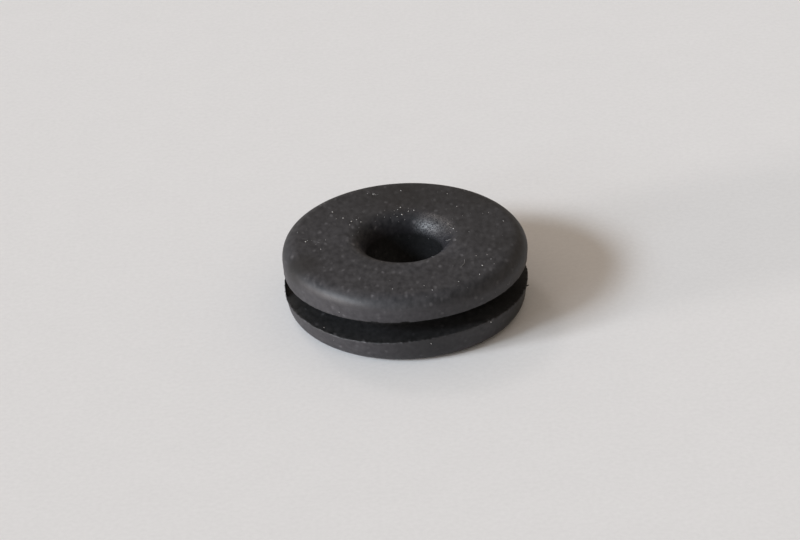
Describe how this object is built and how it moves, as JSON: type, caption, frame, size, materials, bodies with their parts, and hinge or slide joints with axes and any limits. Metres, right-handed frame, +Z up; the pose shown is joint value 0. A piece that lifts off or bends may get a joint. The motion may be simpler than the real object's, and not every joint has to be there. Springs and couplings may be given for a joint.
{
  "type": "rubber grommet",
  "caption": "Round rubber grommet with two rounded flanges, a groove that grips the edge of a panel hole, and a smooth-mouthed bore that protects a cable.",
  "frame": {"origin": "middle of the underside, on the bore's axis, at the lowest plane of the lower flange", "axes": "+Z up along the bore's axis, from the lower flange to the upper flange; X and Y lie in the plane of the underside, and the part is round about Z"},
  "size_m": [0.022, 0.022, 0.0066],
  "materials": {
    "rubber": "matte moulded black rubber with a faint grey bloom",
    "dust": "pale dust grains and fine lint lying on the rubber"
  },
  "bodies": {
    "root": {"grommet": "rubber"}
  },
  "joints": []
}
